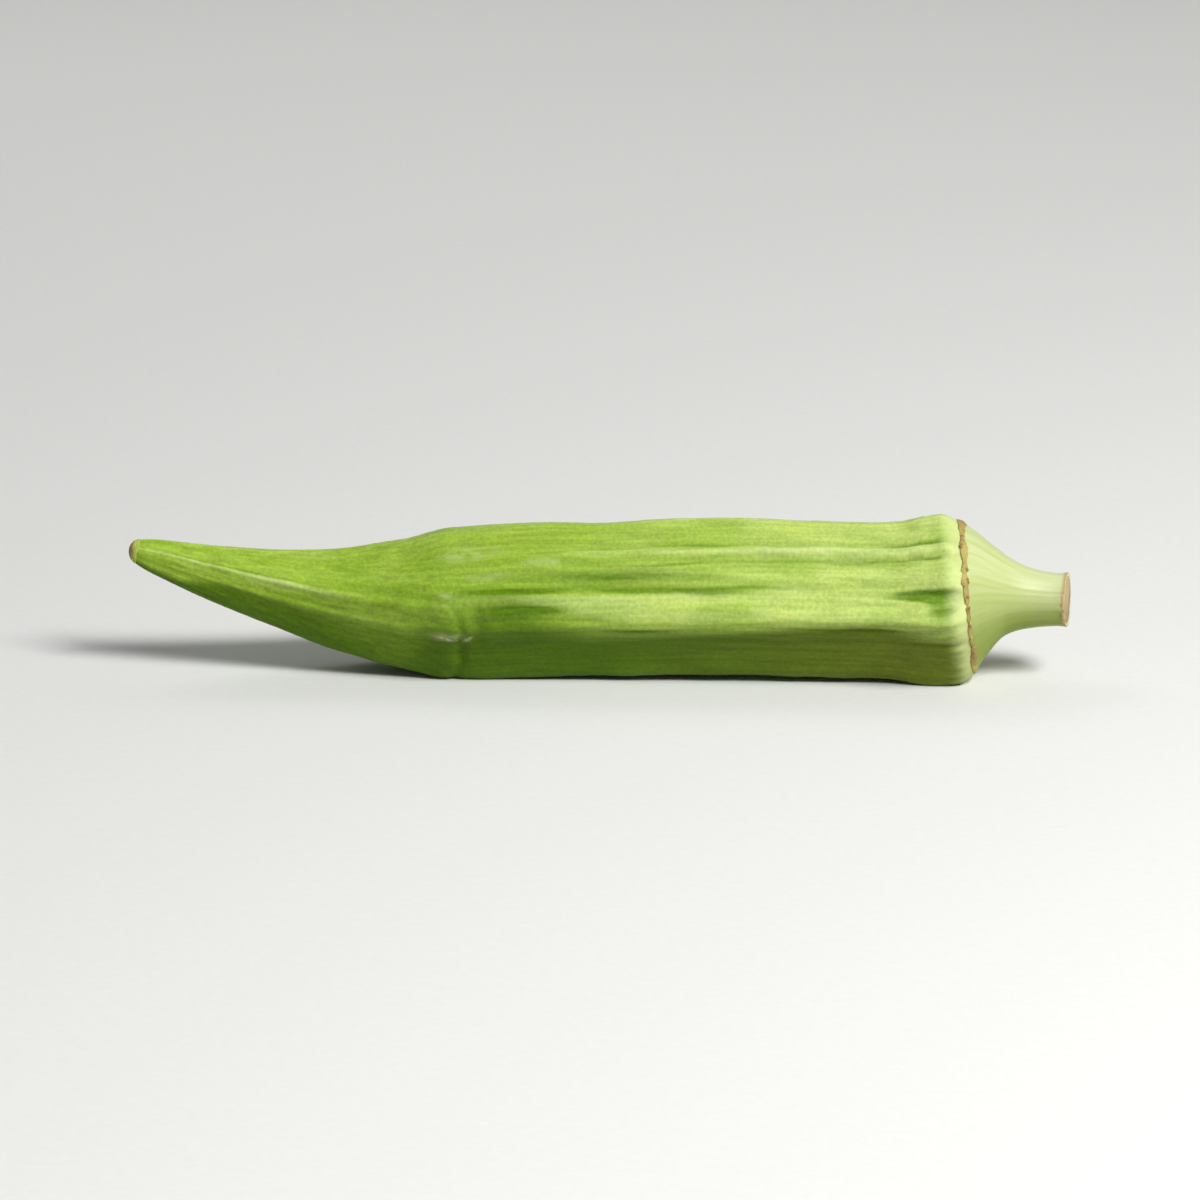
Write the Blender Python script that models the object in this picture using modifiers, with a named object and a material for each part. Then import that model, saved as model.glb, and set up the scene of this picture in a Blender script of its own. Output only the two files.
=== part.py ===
"""An okra pod as picked, lying on its side on a flat surface.

The pod grew as one piece: a ribbed seed pod with an upturned beak, a corky ring where the
flower's leaves fell off, a smooth cap, and a stump of stalk with a cut end. X runs from the
tip to the cut stalk, +Z is up, and the surface that the pod lies on is z = 0. Metres.
"""

import math

import bmesh
import bpy
from mathutils import Matrix, Vector

# Driving sizes
LENGTH = 0.120
CREST_RADIUS = 0.0112
PRESSED_FLAT = 0.00035

# The main ribs, and the mesh's columns of vertices, counted for each facet between two ribs
RIBS = 5
COLUMNS_PER_FACET = 20
COLUMNS = RIBS * COLUMNS_PER_FACET

# The crests' distance from the centre line: (share of LENGTH from the tip, share of CREST_RADIUS)
OUTLINE = (
    (0.000, 0.068),
    (0.002, 0.108),
    (0.006, 0.135),
    (0.018, 0.182),
    (0.042, 0.238),
    (0.092, 0.336),
    (0.163, 0.468),
    (0.233, 0.622),
    (0.300, 0.775),
    (0.345, 0.868),
    (0.400, 0.884),
    (0.513, 0.876),
    (0.650, 0.894),
    (0.767, 0.884),
    (0.815, 0.888),
    (0.852, 0.950),
    (0.876, 0.962),
    (0.893, 0.890),
    (0.908, 0.735),
    (0.922, 0.580),
    (0.938, 0.440),
    (0.956, 0.360),
    (0.978, 0.315),
    (0.992, 0.305),
    (1.000, 0.312),
)

# The centre line: (share of LENGTH from the tip, rise), (share of LENGTH, sway towards +Y)
RISE = (
    (0.000, 0.0063),
    (0.025, 0.0054),
    (0.092, 0.0030),
    (0.163, 0.0010),
    (0.233, -0.0004),
    (0.300, -0.0009),
    (0.350, -0.0009),
    (0.417, -0.0003),
    (0.513, 0.0000),
    (0.650, 0.0004),
    (0.767, 0.0002),
    (0.854, 0.0002),
    (0.885, 0.0006),
    (0.910, 0.0012),
    (0.935, 0.0011),
    (0.965, 0.0009),
    (1.000, 0.0008),
)
SWAY = (
    (0.000, -0.0010),
    (0.350, 0.0004),
    (0.700, 0.0003),
    (1.000, -0.0010),
)

# How far each way along the centre line its direction is taken, as a share of LENGTH
AXIS_REACH = 0.03

# Where rows of vertices lie: (share of LENGTH at the stretch's end, rows in the stretch)
ROWS = (
    (0.006, 3),
    (0.030, 3),
    (0.100, 4),
    (0.330, 9),
    (0.800, 11),
    (0.886, 7),
)
RING_FROM = 0.8905
RING_TO = 0.8985
RING_ROWS = 3
RING_HEIGHT = 0.00025
CAP_FROM = 0.9025
CAP_ROWS = 9

# How far each facet's middle lies under its two crests, as a share of the radius, and how peaked they are
FACET_DEPTH = 0.105
CREST_SHARPNESS = 1.8

# How far the front corner strays from its crest, in facets, where it starts to and has done so, and
# how far round from it the facets are drawn along
CORNER_STRAY = 0.19
STRAY_FROM = 0.20
STRAY_TO = 0.42
STRAY_REACH = 0.90

# How each crest strays round the pod from even spacing, once the pod is at its full width
CREST_LEAN = tuple(math.radians(degrees) for degrees in (-6.0, 0.0, 0.0, 0.0, -4.0))
LEAN_FROM = 0.15
LEAN_TO = 0.50

# How the crests turn round the pod on their way: (share of LENGTH from the tip, degrees towards -Y)
TWIST = (
    (0.00, -12.0),
    (0.10, -8.0),
    (0.20, -3.0),
    (0.30, 1.0),
    (0.45, 4.0),
    (1.00, 5.0),
)

# Ribs, and grooves where the height is below 0: (place round the pod in facets, at the tip and at the cut;
# half-width in facets; height as a share of the radius; the shares of LENGTH where it starts and is full)
RIBS_AND_GROOVES = (
    (0.00, 0.00, 0.22, 0.030, 0.05, 0.45),
    (0.20, 0.24, 0.10, 0.014, 0.55, 0.80),
    (0.48, 0.34, 0.07, -0.016, 0.34, 0.62),
    (0.57, 0.41, 0.09, 0.050, 0.34, 0.58),
    (0.75, 0.50, 0.07, -0.016, 0.36, 0.62),
    (0.80, 0.70, 0.12, 0.026, 0.34, 0.60),
    (0.85, 0.94, 0.08, -0.034, 0.31, 0.40),
    (0.95, 1.22, 0.15, 0.036, 0.00, 0.15),
    (1.40, 1.16, 0.12, 0.024, 0.06, 0.24),
    (1.44, 1.25, 0.06, -0.022, 0.34, 0.55),
    (1.60, 1.44, 0.08, -0.020, 0.40, 0.70),
    (2.00, 2.00, 0.18, 0.034, 0.04, 0.30),
    (3.00, 3.00, 0.18, 0.034, 0.04, 0.30),
    (3.16, 3.24, 0.08, -0.018, 0.36, 0.60),
    (3.34, 3.38, 0.12, 0.034, 0.30, 0.60),
    (3.50, 3.54, 0.08, -0.018, 0.40, 0.66),
    (3.64, 3.70, 0.12, 0.042, 0.34, 0.62),
    (3.84, 3.87, 0.08, -0.026, 0.30, 0.50),
    (4.00, 4.00, 0.17, 0.050, 0.00, 0.20),
    (4.24, 4.19, 0.08, -0.024, 0.34, 0.55),
    (4.40, 4.35, 0.11, 0.046, 0.32, 0.58),
    (4.55, 4.49, 0.07, -0.014, 0.36, 0.62),
    (4.66, 4.63, 0.11, 0.042, 0.38, 0.66),
    (4.83, 4.80, 0.08, -0.020, 0.34, 0.60),
)
RIBS_END = (
    (0.780, 1.00),
    (0.855, 1.25),
    (0.877, 1.05),
    (0.891, 0.40),
    (0.900, 0.08),
    (0.912, 0.00),
)
FACET_STRENGTH = (
    (0.000, 0.55),
    (0.060, 1.05),
    (0.200, 1.15),
    (0.350, 1.00),
    (0.840, 1.00),
    (0.890, 0.60),
    (0.910, 0.25),
    (0.950, 0.10),
    (1.000, 0.04),
)

# Hollows: (share of LENGTH, place round the pod in facets, half-length as a share of LENGTH,
# half-width in facets, depth as a share of the radius)
HOLLOWS = (
    (0.190, 1.230, 0.160, 0.12, 0.018),
    (0.374, 1.290, 0.014, 0.35, 0.035),
    (0.425, 1.100, 0.070, 0.07, 0.030),
    (0.858, 0.930, 0.064, 0.09, 0.040),
    (0.874, 1.020, 0.032, 0.15, 0.045),
    (0.862, 3.865, 0.040, 0.09, 0.040),
)

# The dried tip's pit and the stalk's cut face
TIP_PIT_DEPTH = 0.00025
TIP_PIT_RADIUS = 0.00050
CUT_HOLLOW = 0.00025
CUT_LIP = 0.00022
SLANT_FROM = 0.94
CUT_SLANT_UP = math.tan(math.radians(2.0))
CUT_SLANT_ASIDE = math.tan(math.radians(9.0))
FLESH_FROM = 0.99

# The least angle between two faces whose edge is shown sharp
SHARP_ANGLE = math.radians(40.0)


def linear(hex_colour):
    """The scene-linear RGBA of an sRGB hex colour."""
    channels = [int(hex_colour[i : i + 2], 16) / 255 for i in (0, 2, 4)]
    return [c / 12.92 if c <= 0.04045 else ((c + 0.055) / 1.055) ** 2.4 for c in channels] + [1.0]


def smooth(table, at):
    """A smooth curve through a table's (place, value) pairs, which never overshoots them."""
    if at <= table[0][0]:
        return table[0][1]
    if at >= table[-1][0]:
        return table[-1][1]
    steps = [(b[1] - a[1]) / (b[0] - a[0]) for a, b in zip(table, table[1:])]
    slopes = [2 * s * t / (s + t) if s * t > 0 else 0.0 for s, t in zip(steps, steps[1:])]
    slopes = [steps[0]] + slopes + [steps[-1]]
    k = next(i for i in range(len(steps)) if at <= table[i + 1][0])
    width = table[k + 1][0] - table[k][0]
    t = (at - table[k][0]) / width
    rise = table[k + 1][1] - table[k][1]
    ease = t * t * (3 - 2 * t)
    lean = slopes[k] * t * (1 - t) ** 2 - slopes[k + 1] * t * t * (1 - t)
    return table[k][1] + rise * ease + width * lean


def ramp(start, end, at):
    """0 up to the start, 1 from the end, and an S-curve between."""
    t = min(1.0, max(0.0, (at - start) / (end - start)))
    return t * t * (3 - 2 * t)


def mound(distance, half_width):
    """A smooth mound that is 1 in the middle and 0 from the half-width on."""
    return max(0.0, 1 - (distance / half_width) ** 2) ** 2


def facets_apart(a, b):
    """How far apart two places round the pod are, counted in facets."""
    apart = abs(a - b) % RIBS
    return min(apart, RIBS - apart)


def centre(share):
    """A point of the pod's centre line."""
    return Vector((share * LENGTH, smooth(SWAY, share), smooth(RISE, share)))


def turned_profile():
    """(distance from the tip, radius) down the pod's side, from the tip's pit to the middle of the cut."""
    points = [
        (TIP_PIT_DEPTH, 0.0),
        (TIP_PIT_DEPTH, TIP_PIT_RADIUS / 2),
        (0.0, TIP_PIT_RADIUS),
    ]
    shares = [0.0]
    for end, rows in ROWS:
        start = shares[-1]
        shares += [start + (end - start) * (k + 1) / rows for k in range(rows)]
    points += [(s * LENGTH, smooth(OUTLINE, s) * CREST_RADIUS) for s in shares]
    for k in range(RING_ROWS):
        share = RING_FROM + (RING_TO - RING_FROM) * k / (RING_ROWS - 1)
        points.append((share * LENGTH, smooth(OUTLINE, share) * CREST_RADIUS + RING_HEIGHT))
    for k in range(CAP_ROWS + 1):
        share = CAP_FROM + (1 - CAP_FROM) * k / CAP_ROWS
        points.append((share * LENGTH, smooth(OUTLINE, share) * CREST_RADIUS))
    cut_radius = points[-1][1]
    points += [
        (LENGTH, cut_radius - CUT_LIP),
        (LENGTH - CUT_HOLLOW, cut_radius - 3 * CUT_LIP),
        (LENGTH - CUT_HOLLOW, cut_radius / 2),
        (LENGTH - CUT_HOLLOW, 0.0),
    ]
    return points


def turned_body():
    """The profile turned about X, as a mesh whose first column lies along +Z."""
    mesh = bpy.data.meshes.new("pod_profile")
    points = [(along, 0.0, radius) for along, radius in turned_profile()]
    mesh.from_pydata(points, [(k, k + 1) for k in range(len(points) - 1)], [])
    profile = bpy.data.objects.new("pod_profile", mesh)
    bpy.context.scene.collection.objects.link(profile)
    screw = profile.modifiers.new("turn", "SCREW")
    screw.axis = "X"
    screw.steps = COLUMNS
    screw.render_steps = COLUMNS
    screw.use_merge_vertices = True
    screw.merge_threshold = 0.00001
    bpy.context.view_layer.update()
    graph = bpy.context.evaluated_depsgraph_get()
    body = bpy.data.meshes.new_from_object(profile.evaluated_get(graph))
    bpy.data.objects.remove(profile)
    return body


def form_factor(share, place):
    """The surface's distance from the centre line as a share of the plain turned body's."""
    drawn = CORNER_STRAY * ramp(STRAY_FROM, STRAY_TO, share)
    drawn *= mound(facets_apart(place, 1 + CORNER_STRAY), STRAY_REACH)
    across = abs(math.sin(math.pi * (place - drawn))) ** CREST_SHARPNESS
    factor = 1 - FACET_DEPTH * across * smooth(FACET_STRENGTH, share)
    for at_tip, at_cut, half_width, height, start, full in RIBS_AND_GROOVES:
        strength = ramp(start, full, share) * smooth(RIBS_END, share)
        middle = at_tip + (at_cut - at_tip) * share
        factor += height * strength * mound(facets_apart(place, middle), half_width)
    for along, middle, half_length, half_width, depth in HOLLOWS:
        spread = math.hypot((share - along) / half_length, facets_apart(place, middle) / half_width)
        factor -= depth * mound(spread, 1.0)
    return factor


def turned_to(share, place):
    """The angle from the top, towards -Y, of a place round the pod that is counted in facets."""
    crest = int(place) % RIBS
    across = ramp(0.0, 1.0, place % 1)
    lean = CREST_LEAN[crest] * (1 - across) + CREST_LEAN[(crest + 1) % RIBS] * across
    twist = math.radians(smooth(TWIST, share))
    return place * 2 * math.pi / RIBS + lean * ramp(LEAN_FROM, LEAN_TO, share) + twist


def grown(point):
    """Where a point of the turned body lies once the ribs are raised and the pod is bent."""
    share = point.x / LENGTH
    place = math.atan2(-point.y, point.z) * RIBS / (2 * math.pi) % RIBS
    radius = math.hypot(point.y, point.z) * form_factor(share, place)
    turn = turned_to(share, place)
    forward = (centre(share + AXIS_REACH) - centre(share - AXIS_REACH)).normalized()
    side = Vector((0, 0, 1)).cross(forward).normalized()
    up = forward.cross(side)
    rise, aside = radius * math.cos(turn), radius * math.sin(turn)
    slant = (CUT_SLANT_UP * rise + CUT_SLANT_ASIDE * aside) * ramp(SLANT_FROM, 1.0, share)
    return centre(share) + rise * up - aside * side - slant * forward


def principled(name, hex_colour, roughness):
    """A plain material of the given sRGB colour."""
    material = bpy.data.materials.new(name)
    material.use_nodes = True
    material.diffuse_color = linear(hex_colour)
    shader = material.node_tree.nodes["Principled BSDF"]
    shader.inputs["Base Color"].default_value = linear(hex_colour)
    shader.inputs["Roughness"].default_value = roughness
    shader.inputs["Metallic"].default_value = 0.0
    return material


def paint(mesh):
    """Gives each stretch of the turned body its material: skin, corky scars, cap and cut flesh."""
    mesh.materials.append(principled("okra_skin", "9DB85A", 0.55))
    mesh.materials.append(principled("corky_scar", "A98A5B", 0.80))
    mesh.materials.append(principled("smooth_cap", "C3D391", 0.45))
    mesh.materials.append(principled("cut_flesh", "DAD9A8", 0.60))
    skin, scar, cap, flesh = range(4)
    ring_reach = (CAP_FROM - RING_TO) / 2
    for face in mesh.polygons:
        share = face.center.x / LENGTH
        from_axis = math.hypot(face.center.y, face.center.z)
        if share < OUTLINE[1][0] or RING_FROM < share < RING_TO + ring_reach:
            face.material_index = scar
        elif share > FLESH_FROM and from_axis < CREST_RADIUS * OUTLINE[-1][1] - CUT_LIP:
            face.material_index = flesh
        else:
            face.material_index = cap if share > RING_TO else skin


def lay_down(mesh):
    """Stands the pod on z = 0 with its middle over the origin, and presses it flat where it rests."""
    low = Vector([min(v.co[k] for v in mesh.vertices) for k in range(3)])
    high = Vector([max(v.co[k] for v in mesh.vertices) for k in range(3)])
    middle = (low + high) / 2
    mesh.transform(Matrix.Translation((-middle.x, -middle.y, -low.z - PRESSED_FLAT)))
    grid = bmesh.new()
    grid.from_mesh(mesh)
    everything = grid.verts[:] + grid.edges[:] + grid.faces[:]
    bmesh.ops.bisect_plane(grid, geom=everything, plane_co=(0, 0, 0), plane_no=(0, 0, 1), clear_inner=True)
    rims = [edge for edge in grid.edges if edge.is_boundary]
    bmesh.ops.holes_fill(grid, edges=rims)
    bmesh.ops.recalc_face_normals(grid, faces=grid.faces)
    grid.to_mesh(mesh)
    grid.free()


def okra_pod():
    """The whole pod, from its dried tip to its cut stalk, as one object."""
    mesh = turned_body()
    mesh.name = "okra_pod"
    paint(mesh)
    for vertex in mesh.vertices:
        vertex.co = grown(vertex.co)
    lay_down(mesh)
    mesh.shade_smooth()
    mesh.set_sharp_from_angle(angle=SHARP_ANGLE)
    return bpy.data.objects.new("okra_pod", mesh)


def main():
    for leftover in list(bpy.data.objects):
        bpy.data.objects.remove(leftover)
    parts = bpy.data.collections.new("okra pod")
    bpy.context.scene.collection.children.link(parts)
    parts.objects.link(okra_pod())


main()
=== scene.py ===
"""The looks of a fresh okra pod that lies on its side on a pale table.

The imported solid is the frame. Each piece below follows the pod's own form, from the same
tables as the solid's source, with the fine relief, colour and fuzz that the solid leaves out.
"""

import math

import bpy
import numpy as np
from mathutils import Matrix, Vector


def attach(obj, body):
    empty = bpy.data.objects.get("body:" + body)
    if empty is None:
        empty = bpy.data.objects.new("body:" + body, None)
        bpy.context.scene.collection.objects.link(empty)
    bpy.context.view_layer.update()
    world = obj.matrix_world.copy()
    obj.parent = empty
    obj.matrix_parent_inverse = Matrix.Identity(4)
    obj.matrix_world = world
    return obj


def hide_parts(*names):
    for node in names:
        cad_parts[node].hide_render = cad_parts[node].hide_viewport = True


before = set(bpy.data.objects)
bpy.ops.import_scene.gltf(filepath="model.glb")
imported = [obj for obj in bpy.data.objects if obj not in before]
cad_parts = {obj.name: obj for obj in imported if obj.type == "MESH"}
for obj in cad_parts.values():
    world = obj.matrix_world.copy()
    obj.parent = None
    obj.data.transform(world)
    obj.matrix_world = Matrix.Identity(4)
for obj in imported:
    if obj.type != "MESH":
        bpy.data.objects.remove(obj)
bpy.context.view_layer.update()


# The pod's body, from the dried tip to the ring. It is a seed pod of five chambers, each of which
# pushes out a rib, under a tough green skin that short hairs make velvety. It tapers to a beak
# that grew a little upwards, and swells to a shoulder just before the ring.
LENGTH = 0.120
CREST_RADIUS = 0.0112
PRESSED_FLAT = 0.00035
RIBS = 5

# The crests' distance from the centre line: (share of LENGTH from the tip, share of CREST_RADIUS)
OUTLINE = (
    (0.000, 0.068),
    (0.002, 0.108),
    (0.006, 0.135),
    (0.018, 0.182),
    (0.042, 0.238),
    (0.092, 0.336),
    (0.163, 0.468),
    (0.233, 0.622),
    (0.300, 0.775),
    (0.345, 0.868),
    (0.400, 0.884),
    (0.513, 0.876),
    (0.650, 0.894),
    (0.767, 0.884),
    (0.815, 0.888),
    (0.852, 0.950),
    (0.876, 0.962),
    (0.893, 0.890),
    (0.908, 0.735),
    (0.922, 0.580),
    (0.938, 0.440),
    (0.956, 0.360),
    (0.978, 0.315),
    (0.992, 0.305),
    (1.000, 0.312),
)

# The centre line: (share of LENGTH from the tip, rise), (share of LENGTH, sway towards +Y)
RISE = (
    (0.000, 0.0063),
    (0.025, 0.0054),
    (0.092, 0.0030),
    (0.163, 0.0010),
    (0.233, -0.0004),
    (0.300, -0.0009),
    (0.350, -0.0009),
    (0.417, -0.0003),
    (0.513, 0.0000),
    (0.650, 0.0004),
    (0.767, 0.0002),
    (0.854, 0.0002),
    (0.885, 0.0006),
    (0.910, 0.0012),
    (0.935, 0.0011),
    (0.965, 0.0009),
    (1.000, 0.0008),
)
SWAY = ((0.000, -0.0010), (0.350, 0.0004), (0.700, 0.0003), (1.000, -0.0010))

# How far each way along the centre line its direction is taken, as a share of LENGTH
AXIS_REACH = 0.03

# How far each facet's middle lies under its two crests, as a share of the radius, and how peaked they are
FACET_DEPTH = 0.105
CREST_SHARPNESS = 1.8

# How far the front corner strays from its crest, in facets, where it starts to and has done so, and
# how far round from it the facets are drawn along
CORNER_STRAY, STRAY_FROM, STRAY_TO, STRAY_REACH = 0.19, 0.20, 0.42, 0.90

# How each crest strays round the pod from even spacing, once the pod is at its full width
CREST_LEAN = np.radians((-6.0, 0.0, 0.0, 0.0, -4.0, -6.0))
LEAN_FROM, LEAN_TO = 0.15, 0.50

# How the crests turn round the pod on their way: (share of LENGTH from the tip, degrees towards -Y)
TWIST = (
    (0.00, -12.0),
    (0.10, -8.0),
    (0.20, -3.0),
    (0.30, 1.0),
    (0.45, 4.0),
    (1.00, 5.0),
)

# Ribs, and grooves where the height is below 0: (place round the pod in facets, at the tip and at the cut;
# half-width in facets; height as a share of the radius; the shares of LENGTH where it starts and is full)
RIBS_AND_GROOVES = (
    (0.00, 0.00, 0.22, 0.030, 0.05, 0.45),
    (0.20, 0.24, 0.10, 0.014, 0.55, 0.80),
    (0.48, 0.34, 0.07, -0.016, 0.34, 0.62),
    (0.57, 0.41, 0.09, 0.050, 0.34, 0.58),
    (0.75, 0.50, 0.07, -0.016, 0.36, 0.62),
    (0.80, 0.70, 0.12, 0.026, 0.34, 0.60),
    (0.85, 0.94, 0.08, -0.034, 0.31, 0.40),
    (0.95, 1.22, 0.15, 0.036, 0.00, 0.15),
    (1.40, 1.16, 0.12, 0.024, 0.06, 0.24),
    (1.44, 1.25, 0.06, -0.022, 0.34, 0.55),
    (1.60, 1.44, 0.08, -0.020, 0.40, 0.70),
    (2.00, 2.00, 0.18, 0.034, 0.04, 0.30),
    (3.00, 3.00, 0.18, 0.034, 0.04, 0.30),
    (3.16, 3.24, 0.08, -0.018, 0.36, 0.60),
    (3.34, 3.38, 0.12, 0.034, 0.30, 0.60),
    (3.50, 3.54, 0.08, -0.018, 0.40, 0.66),
    (3.64, 3.70, 0.12, 0.042, 0.34, 0.62),
    (3.84, 3.87, 0.08, -0.026, 0.30, 0.50),
    (4.00, 4.00, 0.17, 0.050, 0.00, 0.20),
    (4.24, 4.19, 0.08, -0.024, 0.34, 0.55),
    (4.40, 4.35, 0.11, 0.046, 0.32, 0.58),
    (4.55, 4.49, 0.07, -0.014, 0.36, 0.62),
    (4.66, 4.63, 0.11, 0.042, 0.38, 0.66),
    (4.83, 4.80, 0.08, -0.020, 0.34, 0.60),
)

# How strongly the ribs and the facets show along the pod: (share of LENGTH from the tip, strength)
RIBS_END = (
    (0.780, 1.00),
    (0.855, 1.25),
    (0.877, 1.05),
    (0.891, 0.40),
    (0.900, 0.08),
    (0.912, 0.00),
)
FACET_STRENGTH = (
    (0.000, 0.55),
    (0.060, 1.05),
    (0.200, 1.15),
    (0.350, 1.00),
    (0.840, 1.00),
    (0.890, 0.60),
    (0.910, 0.25),
    (0.950, 0.10),
    (1.000, 0.04),
)

# Hollows: (share of LENGTH, place round the pod in facets, half-length as a share of LENGTH,
# half-width in facets, depth as a share of the radius)
HOLLOWS = (
    (0.190, 1.230, 0.160, 0.12, 0.018),
    (0.374, 1.290, 0.014, 0.35, 0.035),
    (0.425, 1.100, 0.070, 0.07, 0.030),
    (0.858, 0.930, 0.064, 0.09, 0.040),
    (0.874, 1.020, 0.032, 0.15, 0.045),
    (0.862, 3.865, 0.040, 0.09, 0.040),
)

# From which share of LENGTH on the stalk's end is drawn aslant, and how steeply its cut slants
SLANT_FROM = 0.94
CUT_SLANT_UP = math.tan(math.radians(2.0))
CUT_SLANT_ASIDE = math.tan(math.radians(9.0))


def spline(table, at):
    """A smooth curve through a table's (place, value) pairs, which never overshoots them."""
    places, values = np.array(table).T
    steps = np.diff(values) / np.diff(places)
    products = steps[:-1] * steps[1:]
    inner = np.where(products > 0, 2 * products / np.where(products > 0, steps[:-1] + steps[1:], 1), 0)
    slopes = np.concatenate((steps[:1], inner, steps[-1:]))
    k = np.clip(np.searchsorted(places, at) - 1, 0, len(steps) - 1)
    width = places[k + 1] - places[k]
    t = np.clip((at - places[k]) / width, 0, 1)
    lean = slopes[k] * t * (1 - t) ** 2 - slopes[k + 1] * t * t * (1 - t)
    return values[k] + (values[k + 1] - values[k]) * t * t * (3 - 2 * t) + width * lean


def ramp(start, end, at):
    """0 up to the start, 1 from the end, and an S-curve between."""
    t = np.clip((at - start) / (end - start), 0, 1)
    return t * t * (3 - 2 * t)


def mound(distance, half_width):
    """A smooth mound that is 1 in the middle and 0 from the half-width on."""
    return np.clip(1 - (distance / half_width) ** 2, 0, 1) ** 2


def facets_apart(a, b):
    """How far apart two places round the pod are, counted in facets."""
    apart = np.abs(a - b) % RIBS
    return np.minimum(apart, RIBS - apart)


def spot(share, place, along, middle, half_length, half_width, slant=0.0):
    """A soft-edged spot on the pod, 1 in its middle, which may slant round the pod on its way."""
    off = facets_apart(place, middle + slant * (share - along))
    return mound(np.hypot((share - along) / half_length, off / half_width), 1.0)


def rib_relief(share, place):
    """How far the ribs stand out and the grooves sink at a place, as a share of the radius."""
    relief = 0.0
    for number, (at_tip, at_cut, half_width, height, start, full) in enumerate(RIBS_AND_GROOVES):
        wander = 0.014 * np.sin(31 * share + 2.4 * number) + 0.009 * np.sin(67 * share + 1.7 * number)
        apart = facets_apart(place, at_tip + (at_cut - at_tip) * share + wander)
        uneven = 1 + 0.22 * np.sin(23 * share + 3.1 * number) + 0.13 * np.sin(59 * share + 1.3 * number)
        section = mound(apart, half_width) if height > 0 else np.clip(1 - apart / half_width, 0, 1) ** 1.4
        relief += height * uneven * ramp(start, full, share) * section
    return relief * spline(RIBS_END, share)


def form_factor(share, place):
    """The surface's distance from the centre line as a share of the plain turned body's."""
    drawn = CORNER_STRAY * ramp(STRAY_FROM, STRAY_TO, share)
    drawn = drawn * mound(facets_apart(place, 1 + CORNER_STRAY), STRAY_REACH)
    across = np.abs(np.sin(np.pi * (place - drawn))) ** CREST_SHARPNESS
    factor = 1 - FACET_DEPTH * across * spline(FACET_STRENGTH, share) + rib_relief(share, place)
    for *place_and_size, depth in HOLLOWS:
        factor -= depth * spot(share, place, *place_and_size)
    return factor


def centre(share):
    """Points of the pod's centre line."""
    return np.stack((share * LENGTH, spline(SWAY, share), spline(RISE, share)), -1)


def turned_to(share, place):
    """The angle from the top, towards the front, of a place round the pod that is counted in facets."""
    crest = place.astype(int) % RIBS
    across = ramp(0, 1, place % 1)
    lean = CREST_LEAN[crest] * (1 - across) + CREST_LEAN[crest + 1] * across
    twist = np.radians(spline(TWIST, share))
    return place * 2 * np.pi / RIBS + lean * ramp(LEAN_FROM, LEAN_TO, share) + twist


def grown(share, place, lift=0.0):
    """Points of the pod's surface, lifted off it by a distance, before the pod is laid down."""
    radius = spline(OUTLINE, share) * CREST_RADIUS * form_factor(share, place) + lift
    turn = turned_to(share, place)
    forward = centre(share + AXIS_REACH) - centre(share - AXIS_REACH)
    forward /= np.linalg.norm(forward, axis=-1, keepdims=True)
    side = np.cross((0, 0, 1), forward)
    side /= np.linalg.norm(side, axis=-1, keepdims=True)
    up = np.cross(forward, side)
    rise, aside = radius * np.cos(turn), radius * np.sin(turn)
    slant = (CUT_SLANT_UP * rise + CUT_SLANT_ASIDE * aside) * ramp(SLANT_FROM, 1.0, share)
    return centre(share) + rise[..., None] * up - aside[..., None] * side - slant[..., None] * forward


def lattice(shares, columns):
    """Every share of the length with every place round the pod, as two grids."""
    return np.meshgrid(shares, np.arange(columns) * RIBS / columns, indexing="ij")


probe = grown(*lattice(np.linspace(0, 1, 400), 360)).reshape(-1, 3)
middle = (probe.min(0) + probe.max(0)) / 2
LAID_DOWN = np.array((-middle[0], -middle[1], -probe[:, 2].min() - PRESSED_FLAT))


def laid(share, place, lift=0.0):
    """Points of the pod's surface where it lies, pressed flat where they would sink into the table."""
    points = grown(share, place, lift) + LAID_DOWN
    points[..., 2] = np.maximum(points[..., 2], 0)
    return points


def patches(share, place, along, around, seed):
    """Soft random patches from -1 to 1, so many along the pod and so many around it."""
    values = np.random.default_rng(seed).uniform(-1, 1, (along + 2, around))
    down, across = np.clip(share, 0, 1) * along, place / RIBS * around
    row, column = down.astype(int), across.astype(int)
    to_next_row, to_next = ramp(0, 1, down - row), ramp(0, 1, across - column)
    here, beside = column % around, (column + 1) % around
    near = values[row, here] * (1 - to_next) + values[row, beside] * to_next
    far = values[row + 1, here] * (1 - to_next) + values[row + 1, beside] * to_next
    return near * (1 - to_next_row) + far * to_next_row


FOLD_AT, FOLD_BOW = 0.338, 0.019
BELLY, BELLY_REACH = 1.62, 0.72


def fold_distance(share, place):
    """How far a place lies, in shares of the length, towards the stalk from the fold across the belly."""
    wander = 0.0016 * np.sin(11 * place) + 0.0010 * np.sin(29 * place)
    return share - FOLD_AT - FOLD_BOW * mound(place - 1.45, 0.9) - wander


def front_crest(share):
    """Where the beak's sharp front crest lies round the pod, in facets."""
    return 0.95 + 0.27 * share


def lower_crest(share):
    """Where the lower crest lies, which runs from the beak's underside into the front corner."""
    return 1.40 - 0.24 * share


def groove_fills(share, place):
    """How far the groove over the broad band has filled up again, on its way to the ring."""
    filled = ramp(0.60, 0.72, share) * (1 - ramp(0.79, 0.84, share))
    return filled * mound(facets_apart(place, 0.85 + 0.09 * share), 0.12)


VEINS, LUMPS, PEBBLES = 0.000080, 0.000075, 0.000024
BEAK_EDGES, FILLED_GROOVE = 0.000200, 0.000240
FOLD_SWELLING, FOLD_DEPTH, NICK = 0.00020, 0.00040, 0.000160


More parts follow.
